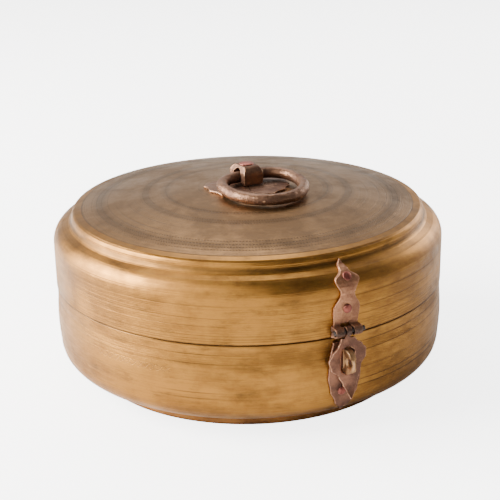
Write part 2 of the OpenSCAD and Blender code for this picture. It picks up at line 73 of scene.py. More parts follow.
VIEW_TURN, VIEW_RISE, VIEW_ROLL = math.radians(-25.5), math.radians(20.63), math.radians(1.13)
VIEW_FAR = 861.8 * MM
back = Vector((
    math.sin(VIEW_TURN) * math.cos(VIEW_RISE),
    -math.cos(VIEW_TURN) * math.cos(VIEW_RISE),
    math.sin(VIEW_RISE),
))
camera = in_scene(bpy.data.objects.new("camera", bpy.data.cameras.new("camera")))
camera.data.lens, camera.data.sensor_width = 87.55, 36
camera.data.shift_x, camera.data.shift_y = 0.0033, 0.0359
camera.location = Vector((0, 0, seam)) + back * VIEW_FAR
aim = (-back).to_track_quat("-Z", "Y")
camera.rotation_mode = "QUATERNION"
camera.rotation_quaternion = aim @ Matrix.Rotation(-VIEW_ROLL, 4, "Z").to_quaternion()
scene.camera = camera

floor_size = 12.0
floor_mesh = bpy.data.meshes.new("floor")
floor_mesh.from_pydata(
    [(x * floor_size, y * floor_size, 0) for x, y in ((-1, -1), (1, -1), (1, 1), (-1, 1))],
    [], [(0, 1, 2, 3)],
)
floor = in_scene(bpy.data.objects.new("floor", floor_mesh))
floor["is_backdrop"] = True


def add(tree, kind, setup=None, **inputs):
    """Puts a node in a tree. Inputs are numbers, colours or other nodes' sockets."""
    made = tree.nodes.new(kind)
    for key, value in (setup or {}).items():
        setattr(made, key, value)
    for key, value in inputs.items():
        name = key.replace("_", " ")
        socket = made.inputs[int(key[1:])] if key[0] == "i" and key[1:].isdigit() else made.inputs[name]
        if isinstance(value, bpy.types.NodeSocket):
            tree.links.new(value, socket)
        else:
            socket.default_value = value
    return made


def finish_named(name):
    """A new material with one Principled shader; returns the material, its tree and the shader."""
    made = bpy.data.materials.new(name)
    made.use_nodes = True
    shader = made.node_tree.nodes["Principled BSDF"]
    return made, made.node_tree, shader


paper, tree, shader = finish_named("paper_sweep")
shader.inputs["Base Color"].default_value = (0.86, 0.86, 0.86, 1)
shader.inputs["Roughness"].default_value = 0.9
shader.inputs["Specular IOR Level"].default_value = 0.1
shader.inputs["Emission Color"].default_value = (1, 1, 1, 1)
sight = add(tree, "ShaderNodeLightPath")
glow = add(tree, "ShaderNodeMath", {"operation": "MULTIPLY"}, i0=sight.outputs["Is Camera Ray"], i1=4.2)
tree.links.new(glow.outputs[0], shader.inputs["Emission Strength"])
floor.data.materials.append(paper)

sky = bpy.data.worlds.new("studio")
scene.world = sky
sky.use_nodes = True
tree = sky.node_tree
way = add(tree, "ShaderNodeTexCoord").outputs["Generated"]
behind = add(tree, "ShaderNodeVectorMath", {"operation": "DOT_PRODUCT"}, i0=way, i1=(-back.x, -back.y, 0.0))
room = add(tree, "ShaderNodeMapRange", {"interpolation_type": "SMOOTHSTEP"}, Value=behind.outputs["Value"])
room.inputs["From Min"].default_value, room.inputs["From Max"].default_value = -0.75, 0.8
room.inputs["To Min"].default_value, room.inputs["To Max"].default_value = 0.17, 0.95
rise = add(tree, "ShaderNodeSeparateXYZ", Vector=way).outputs["Z"]
ceiling = add(tree, "ShaderNodeMapRange", {"interpolation_type": "SMOOTHSTEP"}, Value=rise)
ceiling.inputs["From Min"].default_value, ceiling.inputs["From Max"].default_value = 0.15, 0.9
ceiling.inputs["To Min"].default_value, ceiling.inputs["To Max"].default_value = 1.0, 0.35
level = add(tree, "ShaderNodeMath", {"operation": "MULTIPLY"}, i0=room.outputs[0], i1=ceiling.outputs[0])
tree.nodes["Background"].inputs["Color"].default_value = (1.0, 0.985, 0.96, 1)
tree.links.new(level.outputs[0], tree.nodes["Background"].inputs["Strength"])


def soft_light(name, place, size, watts, tint):
    lamp = bpy.data.lights.new(name, "AREA")
    lamp.shape, lamp.size, lamp.energy, lamp.color = "SQUARE", size, watts, tint
    stand = in_scene(bpy.data.objects.new(name, lamp))
    stand.location = place
    stand.rotation_euler = (Vector((0, 0, seam)) - Vector(place)).to_track_quat("-Z", "Y").to_euler()


soft_light("window", (-1.45, 0.55, 0.75), 1.5, 165, (1.0, 0.97, 0.93))
soft_light("front_window", (-1.2, -1.3, 1.1), 0.9, 10, (1.0, 0.97, 0.93))
soft_light("overhead", (0.3, 1.0, 1.8), 1.2, 16, (0.97, 0.98, 1.0))
soft_light("fill", (1.5, 0.5, 0.6), 0.9, 10, (1.0, 0.95, 0.88))

# The bowl ---------------------------------------------------------------------------
# Cast brass, turned on a lathe inside and out: an upright rim, a slightly full belly and
# a round heel. The tool has left groups of fine lines, and age a brown, uneven tarnish.
belly_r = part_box("base_shell")[1].x
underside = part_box("base_shell")[0].z
WALL = 2 * MM
rim_r = belly_r - 0.9 * MM
RIM_BAND, HEEL = 8 * MM, 15.5 * MM


def arc(x, z, rx, rz, start, end, steps):
    turn = [math.radians(start + (end - start) * i / steps) for i in range(steps + 1)]
    return [(x + rx * math.cos(a), z + rz * math.sin(a)) for a in turn]


def dense(path, pitch):
    """The same outline with more points; pitch(radius, height) is how far apart they are."""
    points = [path[0]]
    for a, b in zip(path, path[1:]):
        gap = pitch((a[0] + b[0]) / 2, (a[1] + b[1]) / 2)
        n = max(1, math.ceil(math.dist(a, b) / gap))
        points += [(a[0] + (b[0] - a[0]) * i / n, a[1] + (b[1] - a[1]) * i / n) for i in range(1, n + 1)]
    return points


def turned(name, outline, ring, depth=None, middle=(0, 0), closed=True):
    """Spins an outline, drawn down the outside and up the inside, round an upright axis.

    depth(radius, height, angle) is how far the surface is cut back at each point."""
    rz = np.array(outline)
    step = np.roll(rz, -1, 0) - np.roll(rz, 1, 0)
    out = np.stack([-step[:, 1], step[:, 0]], 1)
    out /= np.maximum(np.linalg.norm(out, axis=1), 1e-9)[:, None]
    angle = np.arange(ring) * 2 * math.pi / ring
    r, a = np.meshgrid(rz[:, 0], angle, indexing="ij")
    z = np.meshgrid(rz[:, 1], angle, indexing="ij")[0]
    cut = depth(r, z, a) * (r > 1e-6) if depth else np.zeros_like(r)
    r2, z2 = r - cut * out[:, :1], z - cut * out[:, 1:]
    co = np.stack([middle[0] + r2 * np.cos(a), middle[1] + r2 * np.sin(a), z2], -1)
    verts, number = [], []
    for row in range(len(rz)):
        single = rz[row, 0] < 1e-6
        number.append([len(verts)] * ring if single else list(range(len(verts), len(verts) + ring)))
        verts += [tuple(co[row, 0])] if single else [tuple(p) for p in co[row]]
    faces = []
    for row in range(len(rz) if closed else len(rz) - 1):
        above, below = number[row], number[(row + 1) % len(rz)]
        for k in range(ring):
            n = (k + 1) % ring
            quad = [above[k], below[k], below[n], above[n]]
            corners = list(dict.fromkeys(quad))
            if len(corners) > 2:
                faces.append(corners)
    mesh = bpy.data.meshes.new(name)
    mesh.from_pydata(verts, [], faces)
    mesh.shade_smooth()
    return in_scene(bpy.data.objects.new(name, mesh))


def groove(height, at, wide, deep, angle, seed):
    """A turned line at one height, which runs shallow and stops in places round the wall."""
    run = 0.55 + 0.45 * np.sin(angle * (2 + seed % 3) + seed * 1.7) * np.sin(angle * 5 + seed)
    return deep * np.clip(run, 0, 1) * np.exp(-(((height - at) / wide) ** 2))


def wave(angle, z, size):
    """The slow unevenness of a hand-turned wall, never proud of the drawn line."""
    swell = np.sin(3 * angle + 0.7) + np.sin(5 * angle + 90 * z) + np.sin(2 * angle - 60 * z + 2)
    return size * (3 - swell) / 6


bowl_lines = [-0.9, -3.1, -8.2, -9.3, -14.0, -27.0, -28.3, -29.4, -33.0, -34.2, -40.5, -42.0]


def bowl_cut(r, z, a):
    outside = (r > rim_r - 0.6 * WALL) | (z < underside + 0.2 * WALL)
    cut = wave(a, z, 0.22 * MM)
    for k, line in enumerate(bowl_lines):
        cut = cut + groove(z, seam + line * MM, 0.32 * MM, 0.13 * MM, a, k + 1)
    return np.where(outside, cut, 0)


belly_h = seam - underside - HEEL - RIM_BAND
bowl_out = [(rim_r - 0.5 * MM, seam), (rim_r, seam - 0.5 * MM)]
bowl_out += [
    (rim_r + 0.9 * MM * math.sin(math.pi * i / 12), seam - RIM_BAND - belly_h * i / 12) for i in range(13)
]
bowl_out += arc(rim_r - HEEL, underside + HEEL, HEEL, HEEL, 0, -90, 16)[1:]
bowl_out = dense(bowl_out, lambda r, z: 0.45 * MM if r > rim_r - 2 * MM else 1.2 * MM)
bowl_out += [(r * MM, underside) for r in (112, 108, 90, 60, 30, 0)]
bowl_in = [(r * MM, underside + WALL) for r in (0, 30, 60, 90, 108)]
bowl_in += arc(rim_r - HEEL, underside + HEEL, HEEL - WALL, HEEL - WALL, -90, 0, 8)
bowl_in += [(rim_r - WALL, seam - RIM_BAND), (rim_r - WALL, seam)]
bowl = turned("bowl_wall", bowl_out + bowl_in, 400, bowl_cut)


def group(name, inputs, outputs):
    """An empty node group with its named sockets, and the nodes at its two ends."""
    made = bpy.data.node_groups.new(name, "ShaderNodeTree")
    for socket, kind, value in inputs:
        made.interface.new_socket(socket, in_out="INPUT", socket_type=kind).default_value = value
    for socket, kind in outputs:
        made.interface.new_socket(socket, in_out="OUTPUT", socket_type=kind)
    return made, made.nodes.new("NodeGroupInput").outputs, made.nodes.new("NodeGroupOutput").inputs


def maths(tree, operation, a, b=0.0, clamp=False):
    return add(tree, "ShaderNodeMath", {"operation": operation, "use_clamp": clamp}, i0=a, i1=b).outputs[0]


def span(tree, value, low, high):
    """0 below low, 1 above high, smooth between."""
    node = add(tree, "ShaderNodeMapRange", {"interpolation_type": "SMOOTHSTEP"}, Value=value)
    for key, edge in (("From Min", low), ("From Max", high)):
        if isinstance(edge, bpy.types.NodeSocket):
            tree.links.new(edge, node.inputs[key])
        else:
            node.inputs[key].default_value = edge
    return node.outputs[0]


def blend(tree, amount, a, b):
    node = add(tree, "ShaderNodeMix", {"data_type": "RGBA"})
    for index, value in ((0, amount), (6, a), (7, b)):
        if isinstance(value, bpy.types.NodeSocket):
            tree.links.new(value, node.inputs[index])
        else:
            node.inputs[index].default_value = value
    return node.outputs[2]


FLOAT, COLOUR = "NodeSocketFloat", "NodeSocketColor"

# Tarnish: clouds of dull metal over bright, drawn out round the box, with small stains.
tarnish, into, outof = group(
    "Tarnish",
    [("Scale", FLOAT, 14.0), ("Streak", FLOAT, 3.0), ("Bright", COLOUR, (0.6, 0.4, 0.2, 1)),
     ("Dull", COLOUR, (0.3, 0.2, 0.1, 1)), ("Stain", COLOUR, (0.1, 0.06, 0.03, 1)),
     ("Amount", FLOAT, 0.5), ("Stains", FLOAT, 0.4)],
    [("Color", COLOUR), ("Dullness", FLOAT), ("Height", FLOAT)],
)
place = add(tarnish, "ShaderNodeTexCoord").outputs["Object"]
tall = add(tarnish, "ShaderNodeCombineXYZ", X=1.0, Y=1.0, Z=into["Streak"]).outputs[0]
drawn = add(tarnish, "ShaderNodeVectorMath", {"operation": "MULTIPLY"}, i0=place, i1=tall).outputs[0]
clouds = add(tarnish, "ShaderNodeTexNoise", Vector=drawn, Scale=into["Scale"], Detail=7.0, Roughness=0.62)
thick = maths(tarnish, "ADD", clouds.outputs[0], maths(tarnish, "SUBTRACT", into["Amount"], 0.5))
dull = span(tarnish, thick, 0.38, 0.66)
small = maths(tarnish, "MULTIPLY", into["Scale"], 3.7)
spots = add(tarnish, "ShaderNodeTexNoise", Vector=drawn, Scale=small, Detail=8.0, Roughness=0.72)
spot = maths(tarnish, "MULTIPLY", span(tarnish, spots.outputs[0], 0.50, 0.78), into["Stains"])
fine = add(tarnish, "ShaderNodeTexNoise", Vector=drawn, Scale=420.0, Detail=3.0, Roughness=0.6)
grain = maths(tarnish, "MULTIPLY", maths(tarnish, "SUBTRACT", fine.outputs[0], 0.5), 0.5)
squeeze = maths(tarnish, "MULTIPLY", into["Streak"], 6.0)
flat = add(tarnish, "ShaderNodeCombineXYZ", X=1.0, Y=1.0, Z=squeeze).outputs[0]
combed = add(tarnish, "ShaderNodeVectorMath", {"operation": "MULTIPLY"}, i0=place, i1=flat).outputs[0]
streaks = add(tarnish, "ShaderNodeTexNoise", Vector=combed, Scale=26.0, Detail=5.0, Roughness=0.65)
mottle = add(tarnish, "ShaderNodeTexNoise", Vector=place, Scale=78.0, Detail=4.0, Roughness=0.6)
uneven = maths(tarnish, "SUBTRACT", maths(tarnish, "ADD", streaks.outputs[0], mottle.outputs[0]), 1.0)
grain = maths(tarnish, "ADD", grain, maths(tarnish, "MULTIPLY", uneven, 1.5))
tone = maths(tarnish, "ADD", dull, grain, clamp=True)
body_tone = blend(tarnish, tone, into["Bright"], into["Dull"])
tarnish.links.new(blend(tarnish, spot, body_tone, into["Stain"]), outof["Color"])
tarnish.links.new(maths(tarnish, "MAXIMUM", tone, spot), outof["Dullness"])
tarnish.links.new(maths(tarnish, "ADD", fine.outputs[0], spots.outputs[0]), outof["Height"])

# Tool lines: close, uneven lines cut across one direction, faint and broken on the way round.
tool_lines, into, outof = group(
    "Tool Lines",
    [("Across", FLOAT, 0.0), ("Per Metre", FLOAT, 900.0)],
    [("Height", FLOAT), ("Dark", FLOAT)],
)
place = add(tool_lines, "ShaderNodeTexCoord").outputs["Object"]
count = maths(tool_lines, "MULTIPLY", into["Across"], into["Per Metre"])
comb = add(tool_lines, "ShaderNodeTexNoise", {"noise_dimensions": "1D"}, W=count, Scale=1.0, Detail=2.0)
rare = maths(tool_lines, "MULTIPLY", count, 0.31)
coarse = add(tool_lines, "ShaderNodeTexNoise", {"noise_dimensions": "1D"}, W=rare, Scale=1.0, Detail=3.0)
broken = add(tool_lines, "ShaderNodeTexNoise", Vector=place, Scale=9.0, Detail=2.0)
stay = span(tool_lines, broken.outputs[0], 0.38, 0.62)
deep = maths(tool_lines, "MULTIPLY", span(tool_lines, coarse.outputs[0], 0.60, 0.72), stay)
tool_lines.links.new(maths(tool_lines, "SUBTRACT", comb.outputs[0], deep), outof["Height"])
tool_lines.links.new(deep, outof["Dark"])


def use(tree, shared, **inputs):
    """Places a node group in a material with its own values."""
    return add(tree, "ShaderNodeGroup", {"node_tree": shared}, **inputs).outputs


def bump(tree, height, strength, distance):
    return add(tree, "ShaderNodeBump", Height=height, Strength=strength, Distance=distance).outputs[0]


def roughness(tree, shader, dull, smooth, rough):
    node = add(tree, "ShaderNodeMapRange", Value=dull)
    node.inputs["To Min"].default_value, node.inputs["To Max"].default_value = smooth, rough
    tree.links.new(node.outputs[0], shader.inputs["Roughness"])


def height_of(tree):
    place = add(tree, "ShaderNodeTexCoord").outputs["Object"]
    return add(tree, "ShaderNodeSeparateXYZ", Vector=place).outputs["Z"]


def dirt_and_shade_at(tree, colour, value, at, wide, dark, amount):
    """A dark band at one value of a coordinate: real dirt and rust in some uses, painted shade in others,
    such as along the seam.
    """
    far = maths(tree, "ABSOLUTE", maths(tree, "SUBTRACT", value, at))
    near = maths(tree, "SUBTRACT", 1.0, span(tree, far, 0.0, wide))
    return blend(tree, maths(tree, "MULTIPLY", near, amount), colour, dark)


# A braid of punched dots on part of the wall: two rows that wave across each other.
BRAID_DOT_PITCH, BRAID_SWING = 0.9 * MM, 1.7 * MM
braid, into, outof = group(
    "Punched Braid",
    [("Height", FLOAT, 0.0), ("From", FLOAT, 0.0), ("To", FLOAT, 1.0)],
    [("Mask", FLOAT)],
)
place = add(braid, "ShaderNodeTexCoord").outputs["Object"]
axes = add(braid, "ShaderNodeSeparateXYZ", Vector=place).outputs
turn = maths(braid, "ARCTAN2", axes["Y"], axes["X"])
part = maths(braid, "MULTIPLY", turn, 150.0)
along = maths(braid, "MULTIPLY", maths(braid, "SUBTRACT", maths(braid, "FRACT", part), 0.5), BRAID_DOT_PITCH)
curl = maths(braid, "SINE", maths(braid, "MULTIPLY", turn, 90.0))
swing = maths(braid, "MULTIPLY", curl, BRAID_SWING)
level = maths(braid, "SUBTRACT", axes["Z"], into["Height"])
masks = []
for kind in ("ADD", "SUBTRACT"):
    off = maths(braid, kind, level, swing)
    gap = maths(braid, "SQRT", maths(braid, "ADD", maths(braid, "MULTIPLY", along, along),
                                     maths(braid, "MULTIPLY", off, off)))
    masks.append(maths(braid, "SUBTRACT", 1.0, span(braid, gap, 0.12 * MM, 0.42 * MM)))
both = maths(braid, "MAXIMUM", *masks)
inside = maths(braid, "MULTIPLY", maths(braid, "GREATER_THAN", turn, into["From"]),
               maths(braid, "LESS_THAN", turn, into["To"]))
braid.links.new(maths(braid, "MULTIPLY", both, inside), outof["Mask"])

# Near-black brown for soot in lines, dots and corners, and also for the painted shade along the seam and in
# the lid's cove.
SOOT_AND_SHADE = (0.045, 0.026, 0.012, 1)
AGED_BRASS = {
    "Scale": 11.0, "Streak": 3.2, "Bright": (0.43, 0.20, 0.042, 1), "Dull": (0.24, 0.11, 0.026, 1),
    "Stain": (0.10, 0.052, 0.018, 1), "Amount": 0.5, "Stains": 0.8,
}
bowl_brass, tree, shader = finish_named("bowl_brass")
shader.inputs["Metallic"].default_value = 1.0
look = use(tree, tarnish, **AGED_BRASS)
high = height_of(tree)
lines = use(tree, tool_lines, Across=high, Per_Metre=1500.0)
colour = blend(tree, maths(tree, "MULTIPLY", lines["Dark"], 0.6), look["Color"], SOOT_AND_SHADE)
motif = use(tree, braid, Height=seam - 19 * MM, From=math.radians(-162), To=math.radians(-137))["Mask"]
colour = blend(tree, maths(tree, "MULTIPLY", motif, 0.7), colour, SOOT_AND_SHADE)
# Painted shade along the seam, under the lid's overhanging edge.
colour = dirt_and_shade_at(tree, colour, high, seam, 1.6 * MM, SOOT_AND_SHADE, 0.9)
# Darker across the underside and the bottom of the heel, where the foot meets the bowl.
colour = dirt_and_shade_at(tree, colour, high, underside, 2.2 * MM, SOOT_AND_SHADE, 0.6)
tree.links.new(colour, shader.inputs["Base Color"])
roughness(tree, shader, look["Dullness"], 0.30, 0.47)
relief = maths(tree, "SUBTRACT", lines["Height"], maths(tree, "MULTIPLY", motif, 1.6))
tree.links.new(bump(tree, relief, 0.36, 0.0004), shader.inputs["Normal"])
bowl.data.materials.append(bowl_brass)
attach(bowl, "base")
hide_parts("base_shell")

# The foot -----------------------------------------------------------------------------
# A flared ring of brass soldered under the bowl. It is rubbed along its lower edge and
# has kept a browner, orange colour where nobody polishes it.
foot_r, foot_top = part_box("foot_ring")[1].x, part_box("foot_ring")[1].z
FOOT_T, FLARE = 3 * MM, 1 * MM
foot_out = [
    (foot_r - FLARE, foot_top), (foot_r - 0.85 * FLARE, 0.62 * foot_top), (foot_r - 0.1 * FLARE, 2 * MM),
    (foot_r, 1.1 * MM), (foot_r - 0.15 * MM, 0.4 * MM), (foot_r - 0.6 * MM, 0),
    (foot_r - FOOT_T + 0.4 * MM, 0),
    (foot_r - FOOT_T, 0.4 * MM), (foot_r - FOOT_T - FLARE, foot_top),
]
foot = turned("foot", foot_out, 300, lambda r, z, a: wave(a, z, 0.12 * MM) * (z > 1 * MM))
foot_brass, tree, shader = finish_named("foot_brass")
shader.inputs["Metallic"].default_value = 0.95
look = use(tree, tarnish, Scale=24.0, Streak=2.0,
           Bright=(0.36, 0.16, 0.05, 1), Dull=(0.19, 0.085, 0.032, 1),
           Stain=(0.06, 0.032, 0.018, 1), Amount=0.52, Stains=0.6)
high = height_of(tree)
# Darker towards its top edge, where it meets the bowl.
colour = dirt_and_shade_at(tree, look["Color"], high, foot_top, 2.4 * MM, SOOT_AND_SHADE, 0.75)
tree.links.new(colour, shader.inputs["Base Color"])
roughness(tree, shader, look["Dullness"], 0.34, 0.6)
tree.links.new(bump(tree, look["Height"], 0.25, 0.0006), shader.inputs["Normal"])
foot.data.materials.append(foot_brass)
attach(foot, "base")
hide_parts("foot_ring")

# The collar ---------------------------------------------------------------------------
# A thin ring of bare brass soldered inside the bowl's rim. The lid closes down round it,
# and its top edge is turned in a little so that the lid finds its way.
collar_low, collar_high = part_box("inner_collar")
collar_in = rim_r - WALL - 1.4 * MM
collar_out = [
    (collar_in + 0.3 * MM, collar_high.z), (collar_high.x - 0.7 * MM, collar_high.z),
    (collar_high.x - 0.15 * MM, collar_high.z - 0.5 * MM), (collar_high.x, collar_high.z - 1.2 * MM),
    (collar_high.x, seam + 0.3 * MM), (rim_r - WALL, seam + 0.1 * MM), (rim_r - WALL, collar_low.z),
    (collar_in, collar_low.z), (collar_in, collar_high.z - 0.3 * MM),
]
collar = turned("collar", collar_out, 300)
inner_brass, tree, shader = finish_named("inner_brass")
shader.inputs["Metallic"].default_value = 1.0
look = use(tree, tarnish, Scale=18.0, Streak=2.5,
           Bright=(0.55, 0.32, 0.10, 1), Dull=(0.33, 0.18, 0.055, 1),
           Stain=(0.14, 0.09, 0.045, 1), Amount=0.42, Stains=0.35)
lines = use(tree, tool_lines, Across=height_of(tree), Per_Metre=1900.0)
tree.links.new(look["Color"], shader.inputs["Base Color"])
roughness(tree, shader, look["Dullness"], 0.28, 0.5)
tree.links.new(bump(tree, lines["Height"], 0.12, 0.0004), shader.inputs["Normal"])
collar.data.materials.append(inner_brass)
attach(collar, "base")
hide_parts("inner_collar")

# The lid ------------------------------------------------------------------------------
# Turned from one casting: upright wall, round shoulder, a hollow cove and a sharp edge
# round a low dome. The dome is chased by hand with rings of dots, ticks and loops.
lid_r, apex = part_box("lid_shell")[1].x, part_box("lid_shell")[1].z
SHOULDER_H, SHOULDER, SHOULDER_END = 41.5 * MM, 12 * MM, 70
COVE_FLAT, COVE, COVE_END = 2 * MM, 5 * MM, 190
EDGE_W, EDGE_H = 3.5 * MM, 4.6 * MM
DOME_H = 12 * MM


def polar(length, degrees):
    return Vector((length * math.cos(math.radians(degrees)), length * math.sin(math.radians(degrees))))


shoulder_mid = Vector((lid_r - SHOULDER, seam + SHOULDER_H - SHOULDER))
cove_start = shoulder_mid + polar(SHOULDER, SHOULDER_END) + polar(COVE_FLAT, SHOULDER_END + 90)
cove_mid = cove_start + polar(COVE, SHOULDER_END)
edge_start = cove_mid + polar(COVE, COVE_END)
disc_r, disc_foot = edge_start.x - EDGE_W, edge_start.y
dome_r = (disc_r**2 + DOME_H**2) / (2 * DOME_H)


def dome_z(r):
    return apex - dome_r + np.sqrt(dome_r**2 - r**2)


def lid_path(inset):
    """The lid's outside, or its inside when inset is the wall, from the apex to the seam."""
    path = [(disc_r * i / 24, dome_z(disc_r * i / 24) - inset) for i in range(24)]
    path += arc(disc_r, disc_foot, EDGE_W - inset, EDGE_H - inset, 90, 0, 8)
    path += arc(cove_mid.x, cove_mid.y, COVE + inset, COVE + inset, COVE_END, 180 + SHOULDER_END, 8)[1:]
    path += arc(shoulder_mid.x, shoulder_mid.y, SHOULDER - inset, SHOULDER - inset, SHOULDER_END, 0, 12)
    return path + [(lid_r - inset, seam)]


ring_marks = [0.20, 0.235, 0.43, 0.47, 0.495, 0.56, 0.625, 0.70, 0.735, 0.80, 0.915, 0.945, 0.975]
RING = 540


def lid_cut(r, z, a):
    outside = z > dome_z(np.minimum(r, disc_r)) - 0.6 * WALL
    round_it = np.hypot(r - shoulder_mid.x, z - shoulder_mid.y) > SHOULDER - 0.5 * WALL
    side = (r > lid_r - 0.6 * WALL) | ((z > shoulder_mid.y) & round_it)
    part = r / disc_r
    cut = wave(a, r, 0.05 * MM)
    for k, at in enumerate(ring_marks):
        cut = cut + groove(r, at * disc_r, 0.5 * MM, 0.16 * MM, a, k + 2)
    loops = 0.59 + 0.016 * np.abs(np.sin(30 * a))
    cut = cut + 0.15 * MM * np.exp(-(((part - loops) * disc_r / (0.6 * MM)) ** 2))
    for at, count in ((0.45, 100), (0.665, 150), (0.835, 150), (0.895, 200)):
        dots = np.clip(np.sin(count * a) + np.cos(count * a), 0, 1)
        cut = cut + 0.16 * MM * dots * np.exp(-(((part - at) * disc_r / (0.75 * MM)) ** 2))
    ticks = np.clip(np.sin(150 * a + 300 * (part - 0.86)), 0, 1)
    cut = cut + 0.10 * MM * ticks * np.exp(-(((part - 0.865) * disc_r / (1.6 * MM)) ** 2))
    walls = wave(a, z, 0.2 * MM)
    for k, line in enumerate([1.2, 2.6, 4.0, 6.1, 21.5, 22.6, 24.2]):
        walls = walls + groove(z, seam + line * MM, 0.34 * MM, 0.16 * MM, a, k + 3)
    return np.where(side, walls, np.where(outside & (r < disc_r - 0.5 * MM), cut, 0))


def lid_pitch(r, z):
    if r < disc_r - 1 * MM:
        busy = any(abs(r / disc_r - at) < 0.03 for at in (0.45, 0.59, 0.665, 0.835, 0.865, 0.895))
        return 1.1 * MM if busy else 2.6 * MM
    return 0.65 * MM if z < seam + 7 * MM else 1.6 * MM


lid_outline = dense(lid_path(0), lid_pitch)
lid_outline[-1] = (lid_r, seam + 0.5 * MM)
lid_outline += [(lid_r - 0.45 * MM, seam + 0.12 * MM), (lid_r - WALL, seam + 0.12 * MM)]
lid_outline += [p for p in reversed(lid_path(WALL))][1::2] + [(0, apex - WALL)]
lid = turned("lid_dome", lid_outline, RING, lid_cut)

# Chased rows: dots punched in rings round the dome's middle.
punched, into, outof = group(
    "Punched Row",
    [("Radius", FLOAT, 0.07), ("Count", FLOAT, 180.0), ("Dot", FLOAT, 0.0009)],
    [("Mask", FLOAT)],
)
place = add(punched, "ShaderNodeTexCoord").outputs["Object"]
axes = add(punched, "ShaderNodeSeparateXYZ", Vector=place).outputs
turn = maths(punched, "ARCTAN2", axes["Y"], axes["X"])
reach = maths(punched, "SQRT", maths(punched, "ADD", maths(punched, "MULTIPLY", axes["X"], axes["X"]),
                                     maths(punched, "MULTIPLY", axes["Y"], axes["Y"])))
part = maths(punched, "MULTIPLY", turn, maths(punched, "DIVIDE", into["Count"], 2 * math.pi))
side = maths(punched, "SUBTRACT", maths(punched, "FRACT", part), 0.5)
pitch = maths(punched, "DIVIDE", maths(punched, "MULTIPLY", into["Radius"], 2 * math.pi), into["Count"])
along = maths(punched, "MULTIPLY", side, pitch)
off = maths(punched, "SUBTRACT", reach, into["Radius"])
gap = maths(punched, "SQRT", maths(punched, "ADD", maths(punched, "MULTIPLY", along, along),
                                   maths(punched, "MULTIPLY", off, off)))
core = maths(punched, "MULTIPLY", into["Dot"], 0.3)
punched.links.new(maths(punched, "SUBTRACT", 1.0, span(punched, gap, core, into["Dot"])), outof["Mask"])

lid_brass, tree, shader = finish_named("lid_brass")
shader.inputs["Metallic"].default_value = 1.0
place = add(tree, "ShaderNodeTexCoord").outputs["Object"]
axes = add(tree, "ShaderNodeSeparateXYZ", Vector=place).outputs
reach = maths(tree, "SQRT", maths(tree, "ADD", maths(tree, "MULTIPLY", axes["X"], axes["X"]),
                                  maths(tree, "MULTIPLY", axes["Y"], axes["Y"])))
walls = use(tree, tarnish, **AGED_BRASS)
top = use(tree, tarnish, Scale=16.0, Streak=1.0,
          Bright=(0.31, 0.165, 0.064, 1), Dull=(0.17, 0.094, 0.041, 1),
          Stain=(0.10, 0.062, 0.038, 1), Amount=0.52, Stains=0.6)
on_top = maths(tree, "SUBTRACT", 1.0, span(tree, reach, disc_r - 4.6 * MM, disc_r - 3.6 * MM))
look = blend(tree, on_top, walls["Color"], top["Color"])
across = add(tree, "ShaderNodeMix", i0=on_top, i2=axes["Z"], i3=reach).outputs[0]
lines = use(tree, tool_lines, Across=across, Per_Metre=1500.0)
colour = blend(tree, maths(tree, "MULTIPLY", lines["Dark"], 0.4), look, SOOT_AND_SHADE)
rows = None
for at, count, dot in ((0.475, 150, 0.7), (0.578, 240, 0.6), (0.61, 240, 0.6), (0.815, 300, 0.7),
                       (0.85, 300, 0.7), (0.88, 340, 0.7), (0.91, 340, 0.6)):
    row = use(tree, punched, Radius=at * disc_r, Count=float(count), Dot=dot * MM)["Mask"]
    rows = maths(tree, "MAXIMUM", rows, row) if rows else row
normal = add(tree, "ShaderNodeTexCoord").outputs["Normal"]
facing = add(tree, "ShaderNodeSeparateXYZ", Vector=normal).outputs["Z"]
upward = span(tree, facing, 0.1, 0.4)
grimy = colour
for at, wide, amount in ((0.475, 0.035, 0.35), (0.595, 0.045, 0.4), (0.86, 0.06, 0.45)):
    grimy = dirt_and_shade_at(tree, grimy, reach, at * disc_r, wide * disc_r, SOOT_AND_SHADE, amount)
grimy = dirt_and_shade_at(tree, grimy, reach, disc_r - 4 * MM, 0.9 * MM, SOOT_AND_SHADE, 0.6)
colour = blend(tree, upward, colour, grimy)
rows = maths(tree, "MULTIPLY", rows, maths(tree, "MULTIPLY", on_top, upward))
colour = blend(tree, maths(tree, "MULTIPLY", rows, 0.85), colour, SOOT_AND_SHADE)
# Painted shade in the hollow cove below the disc's edge.
colour = dirt_and_shade_at(tree, colour, axes["Z"], disc_foot - 1.4 * MM, 2.2 * MM, SOOT_AND_SHADE, 0.6)
for line in (2.6, 4.0, 6.1):
    colour = dirt_and_shade_at(tree, colour, axes["Z"], seam + line * MM, 0.5 * MM, SOOT_AND_SHADE, 0.4)
# Painted shade along the lid's lower edge at the seam.
colour = dirt_and_shade_at(tree, colour, axes["Z"], seam, 1.3 * MM, SOOT_AND_SHADE, 0.9)
tree.links.new(colour, shader.inputs["Base Color"])
roughness(tree, shader, top["Dullness"], 0.30, 0.46)
relief = maths(tree, "SUBTRACT", lines["Height"], maths(tree, "MULTIPLY", rows, 1.6))
tree.links.new(bump(tree, relief, 0.42, 0.0004), shader.inputs["Normal"])
lid.data.materials.append(lid_brass)
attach(lid, "lid")
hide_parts("lid_shell")

# The hinge ------------------------------------------------------------------------------
# Two filed leaves of sheet brass bent round the wall, five knuckles and an iron pin
# peened over at both ends. Three copper rivets hold each leaf.


def forged(name, node, body, metal, grain, soften, dent, mark=None):
    """A piece as the smith leaves it: corners rubbed round and the faces uneven from the hammer.

    grain is the mesh's size, dent the depth of the marks, and mark(point) any cut of its own."""
    work = in_scene(bpy.data.objects.new(name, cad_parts[node].data.copy()))
    return finished(work, node, body, metal, grain, soften, dent, mark)


